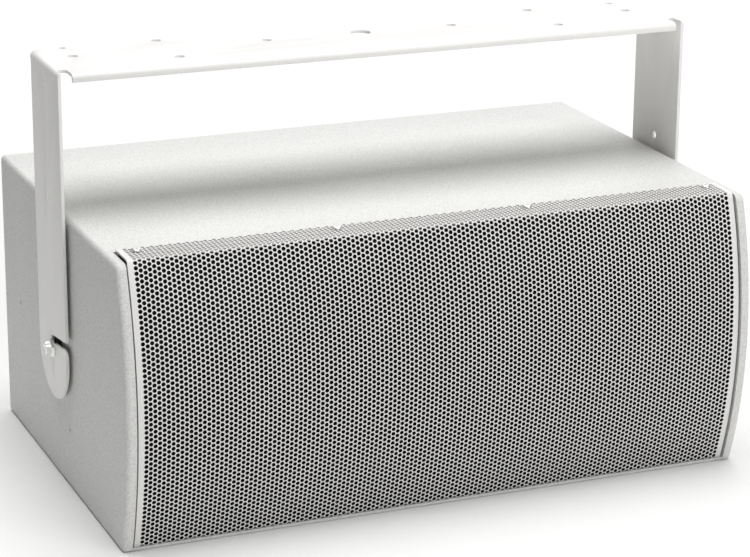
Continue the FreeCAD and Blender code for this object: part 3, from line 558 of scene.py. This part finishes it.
    # bend: Y runs along the profile and Z is the depth behind the outer face
    here = addNode(tree, "ShaderNodeSeparateXYZ", {
        0: addNode(tree, "GeometryNodeInputPosition").outputs["Position"]}).outputs
    profile = addNode(tree, "GeometryNodeObjectInfo", {"Object": group["Profile"]})
    share = addNode(tree, "ShaderNodeMath", {0: here["Y"], 1: group["Length"]}, operation="DIVIDE")
    sample = addNode(tree, "GeometryNodeSampleCurve", {
        "Curves": profile.outputs["Geometry"], "Factor": share.outputs[0]}, mode="FACTOR")
    outward = addNode(tree, "ShaderNodeVectorMath", {0: (1, 0, 0), 1: sample.outputs["Tangent"]},
                      operation="CROSS_PRODUCT")
    inset = addNode(tree, "ShaderNodeVectorMath", {0: outward.outputs[0], "Scale": here["Z"]},
                    operation="SCALE")
    onProfile = addNode(tree, "ShaderNodeVectorMath", {
        0: sample.outputs["Position"], 1: inset.outputs[0]}, operation="ADD")
    sideways = addNode(tree, "ShaderNodeCombineXYZ", {"X": here["X"]})
    target = addNode(tree, "ShaderNodeVectorMath", {
        0: onProfile.outputs[0], 1: sideways.outputs[0]}, operation="ADD")
    bent = addNode(tree, "GeometryNodeSetPosition", {
        "Geometry": solid.outputs["Geometry"], "Position": target.outputs[0]})
    smooth = addNode(tree, "GeometryNodeSetShadeSmooth", {"Geometry": bent.outputs["Geometry"]},
                     domain="FACE")
    angle = addNode(tree, "GeometryNodeInputMeshEdgeAngle").outputs["Unsigned Angle"]
    shallow = addNode(tree, "ShaderNodeMath", {0: angle, 1: math.radians(s["shadeAngle"])},
                      operation="LESS_THAN")
    soft = addNode(tree, "GeometryNodeSetShadeSmooth", {
        "Geometry": smooth.outputs["Geometry"], "Shade Smooth": shallow.outputs[0]}, domain="EDGE")
    last = addNode(tree, "GeometryNodeRealizeInstances", {"Geometry": soft.outputs["Geometry"]})
    coated = addNode(tree, "GeometryNodeSetMaterial", {
        "Geometry": last.outputs["Geometry"], "Material": group["Material"]})
    # painted shade: the bow's hole walls take a near-black colour for the shade inside the holes;
    # the sheet's ends and the flange's walls take the coat
    reach = addNode(tree, "ShaderNodeMath", {0: here["X"]}, operation="ABSOLUTE")
    within = addNode(tree, "ShaderNodeMath", {0: reach.outputs[0], 1: group["Lattice Half"]},
                     operation="LESS_THAN")
    below = addNode(tree, "ShaderNodeMath", {0: here["Z"], 1: group["Bend Height"]},
                    operation="LESS_THAN")
    inBow = addNode(tree, "FunctionNodeBooleanMath", {
        0: within.outputs[0], 1: below.outputs[0]}, operation="AND")
    shadedWallMask = addNode(tree, "FunctionNodeBooleanMath", {
        0: inBow.outputs[0], 1: extruded.outputs["Side"]}, operation="AND")
    shadedHoleWalls = addNode(tree, "GeometryNodeSetMaterial", {
        "Geometry": coated.outputs["Geometry"], "Selection": shadedWallMask.outputs[0],
        "Material": group["Painted Shade Material"]})
    addNode(tree, "NodeGroupOutput", {"Geometry": shadedHoleWalls.outputs["Geometry"]})
    return tree


def makeGrille(s):
    low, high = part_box("grille")
    profile = curveFrom("grille_profile", sideProfile(s, low, high))
    cell = cellMesh("grille_cell", s, (1, -1))
    halfCell = cellMesh("grille_half_cell", s, (1,))
    tree = grilleTree(s)
    pitch = s["holePitch"] * mm
    columnPitch = pitch * math.sqrt(3) / 2
    length = (s["rows"] + 0.5) * pitch
    latticeX = s["columns"] * columnPitch / 2
    margin = high.x - latticeX
    pieces = []
    first = 0
    for name, columns in s["pieces"].items():
        piece = runTree(tree, name, {
            "Cell": cell, "Half Cell": halfCell, "Profile": profile, "Columns": columns,
            "Rows": s["rows"], "Divisions": 2 * s["rows"] + 2, "First Column": first,
            "Column Pitch": columnPitch, "Hole Pitch": pitch, "Half Pitch": pitch / 2,
            "Length": length, "Half Length": length / 2,
            "First X": (first + 0.5) * columnPitch - latticeX,
            "Left Margin": margin if first == 0 else 0.0, "Left Centre": -latticeX - margin / 2,
            "Right Margin": margin if first + columns == s["columns"] else 0.0,
            "Right Centre": latticeX + margin / 2,
            "Depth": -s["sheet"] * mm, "Lattice Half": latticeX,
            "Bend Height": high.z - s["bendRadius"] * mm,
            "Material": materials["grille_powder_coat"],
            # near-black painted shade for the bow's hole walls
            "Painted Shade Material": materials["painted_shade_hole_wall"]})
        place(piece, "cabinet", "grille_powder_coat", "grille")
        pieces.append(piece)
        first += columns
    for helper in (profile, cell, halfCell):
        bpy.data.objects.remove(helper)
    return pieces


grillePieces = makeGrille(grilleSettings)
print("grille made:", sum(len(piece.data.polygons) for piece in grillePieces), "faces")


# Foam lining behind the grille: a slab that follows it, with the slightly uneven skin of cut foam

foamSettings = {
    "thickness": 4.0,
    "bowRadius": 339.5,
    "bowMiddle": 113.0,
    "rows": 90,
    "columns": 220,
    "edgeRound": 0.8,
    "endInset": 2.0,            # the slab stops short of the grille's ends
    "skinDepth": 0.35,          # of the cut skin's hollows
    "skinScale": 2.5,
    "shadeAngle": 60,
}


def foamOutline(s, low, high, depth, count):
    # side view of the slab at that depth: the bow, then the flange, sampled evenly
    radius = (s["bowRadius"] - depth) * mm
    axisY = low.y + s["bowRadius"] * mm
    middle = s["bowMiddle"] * mm
    top = high.z - depth * mm
    footAngle = math.asin((low.z - middle) / radius)
    topAngle = math.asin((top - middle) / radius)
    topY = axisY - radius * math.cos(topAngle)
    bowLength = radius * (topAngle - footAngle)
    length = bowLength + high.y - topY
    points = []
    for i in range(count + 1):
        along = length * i / count
        if along < bowLength:
            angle = footAngle + along / radius
            points.append(Vector((0, axisY - radius * math.cos(angle),
                                  middle + radius * math.sin(angle))))
        else:
            points.append(Vector((0, topY + along - bowLength, top)))
    return points


def makeFoam(s):
    low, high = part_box("grille_foam")
    firstX = low.x + s["endInset"] * mm
    width = high.x - low.x - 2 * s["endInset"] * mm
    front = foamOutline(s, low, high, 0, s["rows"])
    back = foamOutline(s, low, high, s["thickness"], s["rows"])
    points, faces = [], []
    across = s["columns"] + 1
    for layer, outline in enumerate((front, back)):
        for row, point in enumerate(outline):
            inward = (back[row] - front[row]).normalized()
            for column in range(across):
                spot = point + Vector((firstX + width * column / s["columns"], 0, 0))
                if layer == 0:
                    skin = noise.noise(spot / (s["skinScale"] * mm)) * 0.5 + 0.5
                    onRim = column in (0, across - 1) or row in (0, s["rows"])
                    spot += inward * (s["edgeRound"] if onRim else s["skinDepth"] * skin) * mm
                points.append(spot)
    layerSize = across * (s["rows"] + 1)
    for row in range(s["rows"]):
        for column in range(s["columns"]):
            corner = row * across + column
            faces.append((corner, corner + 1, corner + across + 1, corner + across))
            corner += layerSize
            faces.append((corner, corner + across, corner + across + 1, corner + 1))
    rim = list(range(across))
    rim += [row * across + across - 1 for row in range(1, s["rows"] + 1)]
    rim += [s["rows"] * across + column for column in range(across - 2, -1, -1)]
    rim += [row * across for row in range(s["rows"] - 1, 0, -1)]
    for here, after in zip(rim, rim[1:] + rim[:1]):
        faces.append((after, here, here + layerSize, after + layerSize))
    mesh = meshFrom("grille_foam_cut", points, faces)
    shadeByAngle(mesh, s["shadeAngle"])
    foam = linkObject("grille_foam_cut", mesh, materials["black_foam"])
    place(foam, "cabinet", "black_foam", "grille_foam")


makeFoam(foamSettings)
print("foam made")


# Bracket: the CAD shape with its coated edges rounded, as powder coat leaves them

bracketSettings = {
    "edgeRound": 0.4,
    "edgeSteps": 2,
    "edgeAngle": 30,        # degrees; flatter edges are left alone
    "flatAngle": 0.5,       # faces closer than this are one flat face
}


def makeBracket(s):
    shape = bmesh.new()
    shape.from_mesh(frame["nodes"]["u_bracket"].data)
    bmesh.ops.remove_doubles(shape, verts=shape.verts, dist=weldDistance)
    bmesh.ops.dissolve_limit(shape, angle_limit=math.radians(s["flatAngle"]), verts=shape.verts,
                             edges=shape.edges)
    bmesh.ops.recalc_face_normals(shape, faces=shape.faces)
    sharp = [edge for edge in shape.edges
             if edge.is_manifold and edge.calc_face_angle() > math.radians(s["edgeAngle"])]
    bmesh.ops.bevel(shape, geom=sharp, offset=s["edgeRound"] * mm, segments=s["edgeSteps"],
                    affect="EDGES", profile=0.5, clamp_overlap=True)
    mesh = bpy.data.meshes.new("bracket_rounded")
    shape.to_mesh(mesh)
    shape.free()
    shadeByAngle(mesh)
    place(linkObject("bracket_rounded", mesh, materials["bracket_powder_coat"]), "bracket",
          "bracket_powder_coat", "u_bracket")


makeBracket(bracketSettings)
print("bracket made")


# Turned shapes: rings of points about an axis, each one round, hexagonal, or square with rounded
# corners

squarePower = 9     # the higher, the sharper a square's corners


def reachOf(form, angle):
    # distance to the outline in that direction; 1 at a hexagon's corners and at a square's sides
    if form == "hexagon":
        return math.cos(math.radians(30)) / math.cos(math.radians(math.degrees(angle) % 60 - 30))
    if form == "square":
        across, up = abs(math.cos(angle)), abs(math.sin(angle))
        return (across ** squarePower + up ** squarePower) ** (-1 / squarePower)
    return 1


def turnedMesh(name, rings, steps):
    # rings are (radius, height, form) from the bottom to the top, closed by a fan at each end
    points = [(0, 0, rings[0][1] * mm)]
    for radius, height, form in rings:
        for i in range(steps):
            angle = 2 * math.pi * i / steps
            reach = radius * mm * reachOf(form, angle)
            points.append((reach * math.cos(angle), reach * math.sin(angle), height * mm))
    points.append((0, 0, rings[-1][1] * mm))
    faces = [[0, 1 + (i + 1) % steps, 1 + i] for i in range(steps)]
    for ring in range(len(rings) - 1):
        low = 1 + ring * steps
        for i in range(steps):
            after = (i + 1) % steps
            faces.append([low + i, low + after, low + steps + after, low + steps + i])
    top = 1 + (len(rings) - 1) * steps
    faces += [[top + i, top + (i + 1) % steps, len(points) - 1] for i in range(steps)]
    mesh = meshFrom(name, points, faces)
    shadeByAngle(mesh)
    return mesh


# Pivot bolts: hexagon head with a flange; the head's corners are chamfered

boltSettings = {
    "steps": 48,
    "rings": [(2.2, -17, "round"), (3, -16.2, "round"), (3, 0, "round"), (6.9, 0, "round"),
              (7.1, 0.2, "round"), (7.1, 0.7, "round"), (6.5, 1.5, "round"),
              (5.8, 2.2, "hexagon"), (5.8, 5.7, "hexagon"), (5.1, 6.3, "round"),
              (4.4, 6.6, "round"), (3.6, 6.55, "round"), (3.3, 6.1, "round")],
}


def makeBolts(s):
    for side, nodeName in ((-1, "left_pivot_bolt"), (1, "right_pivot_bolt")):
        low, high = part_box(nodeName)
        mesh = turnedMesh(nodeName + "_forged", s["rings"], s["steps"])
        # the mesh's Z becomes the bolt's outward direction, with one corner of the head up
        height = max(vertex.co.z for vertex in mesh.vertices)
        outer = low.x if side < 0 else high.x
        seat = Vector((outer - side * height, (low.y + high.y) / 2, (low.z + high.z) / 2))
        turn = Matrix.Rotation(side * math.pi / 2, 4, "Y")
        mesh.transform(Matrix.Translation(seat) @ turn)
        bolt = linkObject(nodeName + "_forged", mesh, materials["painted_steel_screw"])
        place(bolt, "cabinet", "painted_steel_screw", nodeName)


makeBolts(boltSettings)
print("bolts made")


# Input sockets: a square flange, a round well, a post in its middle and four sprung contacts

socketSettings = {
    "steps": 64,
    "rings": [(11.2, -24, "round"), (12, -23.2, "round"), (12, 0, "round"), (14.8, 0, "square"),
              (15, 0.3, "square"), (15, 1.9, "square"), (14.5, 2.5, "square"),
              (12.2, 2.5, "round"), (11.6, 1.9, "round"), (11.1, 1.6, "round"),
              (11.1, -6.5, "round"), (6.6, -6.5, "round"), (6.6, -1.2, "round"),
              (6.0, -0.6, "round"), (2.4, -0.6, "round"), (2.2, -2.2, "round")],
    "proud": 2.5,                       # height of the flange
    "contacts": 4,
    "contactSize": (0.5, 3.2, 4.4),     # through, along and up the post
    "contactRadius": 6.7,
    "contactHeight": -3.9,
    "firstAngle": 45,
}


def makeSockets(s):
    for nodeName in ("left_input_socket", "right_input_socket"):
        low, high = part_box(nodeName)
        shape = bmesh.new()
        shape.from_mesh(turnedMesh(nodeName, s["rings"], s["steps"]))
        for number in range(s["contacts"]):
            thick, wide, tall = s["contactSize"]
            block = bmesh.ops.create_cube(shape, size=mm)["verts"]
            bmesh.ops.scale(shape, vec=(thick, wide, tall), verts=block)
            bmesh.ops.translate(shape, verts=block,
                                vec=(s["contactRadius"] * mm, 0, s["contactHeight"] * mm))
            angle = math.radians(s["firstAngle"]) + number * 2 * math.pi / s["contacts"]
            bmesh.ops.rotate(shape, cent=(0, 0, 0), matrix=Matrix.Rotation(angle, 3, "Z"),
                             verts=block)
            for face in {face for vertex in block for face in vertex.link_faces}:
                face.material_index = 1
        mesh = bpy.data.meshes.new(nodeName + "_moulded")
        shape.to_mesh(mesh)
        shape.free()
        # the mesh's Z becomes +Y, out of the back
        seat = Vector(((low.x + high.x) / 2, high.y - s["proud"] * mm, (low.z + high.z) / 2))
        mesh.transform(Matrix.Translation(seat) @ Matrix.Rotation(-math.pi / 2, 4, "X"))
        shadeByAngle(mesh)
        socket = linkObject(nodeName + "_moulded", mesh)
        mesh.materials.append(materials["socket_nylon"])
        mesh.materials.append(materials["contact_brass"])
        place(socket, "cabinet", "socket_nylon", nodeName)


makeSockets(socketSettings)
print("sockets made")


# Wadding: slabs of loose fibre with puffed edges and a tufted surface

waddingSettings = {
    "step": 6.0,
    "edgeRound": 14.0,
    "mostRound": 0.9,       # of half a slab's least side, where that is thinner
    "tuftDepth": 3.0,
    "tuftScale": 16.0,
}


def addBoxGrid(slab, counts):
    # a box from -1 to 1, each side divided into that many squares along each axis
    seen = {}
    for axis in range(3):
        first, second = [other for other in range(3) if other != axis]
        for level in (0, counts[axis]):
            for i in range(counts[first]):
                for j in range(counts[second]):
                    corners = []
                    for di, dj in ((0, 0), (1, 0), (1, 1), (0, 1)):
                        key = [level] * 3
                        key[first], key[second] = i + di, j + dj
                        key = tuple(key)
                        if key not in seen:
                            seen[key] = slab.verts.new(
                                [2 * key[k] / counts[k] - 1 for k in range(3)])
                        corners.append(seen[key])
                    slab.faces.new(corners)


def makeWadding(s):
    shape = bmesh.new()
    for low, high in solidBoxes("damping_wadding"):
        middle, half = (low + high) / 2, (high - low) / 2
        slab = bmesh.new()
        addBoxGrid(slab, [max(2, round(2 * length / (s["step"] * mm))) for length in half])
        rounding = min(s["edgeRound"] * mm, min(half) * s["mostRound"])
        for vertex in slab.verts:
            spot = Vector([vertex.co[k] * half[k] for k in range(3)])
            core = Vector([max(-half[k] + rounding, min(half[k] - rounding, spot[k]))
                           for k in range(3)])
            out = (spot - core).normalized()
            tuft = noise.noise((middle + spot) / (s["tuftScale"] * mm)) * 0.5 + 0.5
            vertex.co = middle + core + out * (rounding - s["tuftDepth"] * mm * tuft)
        bmesh.ops.recalc_face_normals(slab, faces=slab.faces)
        slabMesh = bpy.data.meshes.new("slab")
        slab.to_mesh(slabMesh)
        slab.free()
        shape.from_mesh(slabMesh)
        bpy.data.meshes.remove(slabMesh)
    mesh = bpy.data.meshes.new("wadding_tufted")
    shape.to_mesh(mesh)
    shape.free()
    mesh.shade_smooth()
    wadding = linkObject("wadding_tufted", mesh, materials["polyester_wadding"])
    place(wadding, "cabinet", "polyester_wadding", "damping_wadding")


makeWadding(waddingSettings)
print("wadding made")


# Screws, one tree for every set

screwSettings = {
    "headHeight": 2.2,
    "firstSeed": 3,
    "steps": 24,
    "rings": [(1.2, -14, "round"), (2, -13, "round"), (2, 0, "round"), (3.7, 0, "round"),
              (3.8, 0.22, "round"), (3.8, 1.0, "round"), (3.5, 1.6, "round"),
              (2.95, 2.03, "round"), (2.3, 2.2, "round"), (1.6, 2.13, "hexagon"),
              (1.6, 1.1, "hexagon")],
    # the way that the heads of each set face
    "sets": {"grille_screws": (0, 0, 1), "woofer_screws": (0, -1, 0), "horn_screws": (0, -1, 0),
             "driver_bolts": (0, -1, 0), "input_plate_screws": (0, 1, 0)},
}


def screwTree():
    tree = newTree("screw_set", [("Screw", "Object"), ("Places", "Object"), ("Seed", "Int"),
                                 ("Material", "Material")])
    group = addNode(tree, "NodeGroupInput").outputs
    screw = addNode(tree, "GeometryNodeObjectInfo", {"Object": group["Screw"]})
    places = addNode(tree, "GeometryNodeObjectInfo", {"Object": group["Places"]})
    direction = addNode(tree, "GeometryNodeInputNamedAttribute", {"Name": "direction"},
                        data_type="FLOAT_VECTOR")
    aimed = addNode(tree, "FunctionNodeAlignRotationToVector", {
        "Vector": direction.outputs["Attribute"]}, axis="Z")
    # each screw stops at its own angle; sockets 2 and 3 are the range of a random number
    turn = addNode(tree, "FunctionNodeRandomValue", {2: 0.0, 3: math.tau, "Seed": group["Seed"]},
                   data_type="FLOAT")
    spin = addNode(tree, "ShaderNodeCombineXYZ", {"Z": turn.outputs[1]})
    spun = addNode(tree, "FunctionNodeRotateRotation", {
        "Rotation": aimed.outputs["Rotation"], "Rotate By": spin.outputs[0]},
        rotation_space="LOCAL")
    copies = addNode(tree, "GeometryNodeInstanceOnPoints", {
        "Points": places.outputs["Geometry"], "Instance": screw.outputs["Geometry"],
        "Rotation": spun.outputs["Rotation"]})
    real = addNode(tree, "GeometryNodeRealizeInstances", {"Geometry": copies.outputs["Instances"]})
    coated = addNode(tree, "GeometryNodeSetMaterial", {
        "Geometry": real.outputs["Geometry"], "Material": group["Material"]})
    addNode(tree, "NodeGroupOutput", {"Geometry": coated.outputs["Geometry"]})
    return tree


def makeScrews(s):
    screw = linkObject("screw_pattern", turnedMesh("screw_pattern", s["rings"], s["steps"]))
    tree = screwTree()
    for number, (nodeName, facing) in enumerate(s["sets"].items()):
        direction = Vector(facing)
        points = []
        for low, high in solidBoxes(nodeName):
            # middle of the box's face on the heads' side
            end = (low + high) / 2 + direction * abs((high - low).dot(direction)) / 2
            points.append(end - direction * s["headHeight"] * mm)
        placesMesh = meshFrom(nodeName + "_places", points, [])
        attribute = placesMesh.attributes.new("direction", "FLOAT_VECTOR", "POINT")
        for item in attribute.data:
            item.vector = direction
        places = linkObject(nodeName + "_places", placesMesh)
        slotName = nodeSlots[nodeName]
        piece = runTree(tree, nodeName + "_turned", {
            "Screw": screw, "Places": places, "Seed": number + s["firstSeed"],
            "Material": materials[slotName]})
        place(piece, "cabinet", slotName, nodeName)
        bpy.data.objects.remove(places)
    bpy.data.objects.remove(screw)


makeScrews(screwSettings)
print("screws made")


# Floor, light and background

studioSettings = {
    "floorSize": 14.0,
    "floorColour": "#EBEBEA",
    "floorRoughness": 0.9,
    "skyColour": "#F7F6F4",
    "skyStrength": 0.09,
    # wide overhead light, whose shadow of the bracket falls straight down
    "overhead": {"strength": 3.02, "angle": 50},
    "lamps": {
        "front_softbox": dict(location=(0.9, -2.9, 1.7), size=(2.2, 1.6), power=36.5),
        "rear_fill": dict(location=(1.2, 2.6, 1.5), size=(2.0, 1.6), power=14.7),
    },
    # black card beyond the left panel, which takes some of the floor's and the sky's light off it
    "flag": {"x": -0.84, "halfDepth": 0.75, "height": 0.55},
    "flagColour": "#000000",
    "flagRoughness": 0.5,
}


def makeStagePlane(name, corners, materialName, colour, roughness):
    material = bpy.data.materials.new(materialName)
    material.use_nodes = True
    shader = material.node_tree.nodes["Principled BSDF"]
    shader.inputs["Base Color"].default_value = linearColour(colour)
    shader.inputs["Roughness"].default_value = roughness
    plane = linkObject(name, meshFrom(name, corners, [(0, 1, 2, 3)]), material)
    return plane


def makeStudio(s):
    half = s["floorSize"] / 2
    makeStagePlane("studio_floor", [(-half, -half, 0), (half, -half, 0), (half, half, 0),
                                    (-half, half, 0)],
                   "matt_paper_floor", s["floorColour"], s["floorRoughness"])
    x, reach, height = s["flag"]["x"], s["flag"]["halfDepth"], s["flag"]["height"]
    flag = makeStagePlane("studio_flag", [(x, -reach, 0), (x, reach, 0), (x, reach, height),
                                          (x, -reach, height)],
                          "black_velvet_card", s["flagColour"], s["flagRoughness"])
    # it only dims bounced light: it isn't seen or mirrored, and casts no shadow
    flag.visible_camera = flag.visible_shadow = flag.visible_glossy = False
    target = (cadLow + cadHigh) / 2
    for name, lamp in s["lamps"].items():
        data = bpy.data.lights.new(name, "AREA")
        data.shape = "RECTANGLE"
        data.size, data.size_y = lamp["size"]
        data.energy = lamp["power"]
        thing = linkObject(name, data)
        thing.location = lamp["location"]
        thing.rotation_euler = (target - thing.location).to_track_quat("-Z", "Y").to_euler()
    data = bpy.data.lights.new("overhead", "SUN")
    data.energy = s["overhead"]["strength"]
    data.angle = math.radians(s["overhead"]["angle"])
    linkObject("overhead", data)
    world = bpy.data.worlds.new("studio")
    bpy.context.scene.world = world
    world.use_nodes = True
    background = world.node_tree.nodes["Background"].inputs
    background["Color"].default_value = linearColour(s["skyColour"])
    background["Strength"].default_value = s["skyStrength"]
    bpy.context.scene.view_settings.view_transform = "Standard"


makeStudio(studioSettings)
print("studio lit")
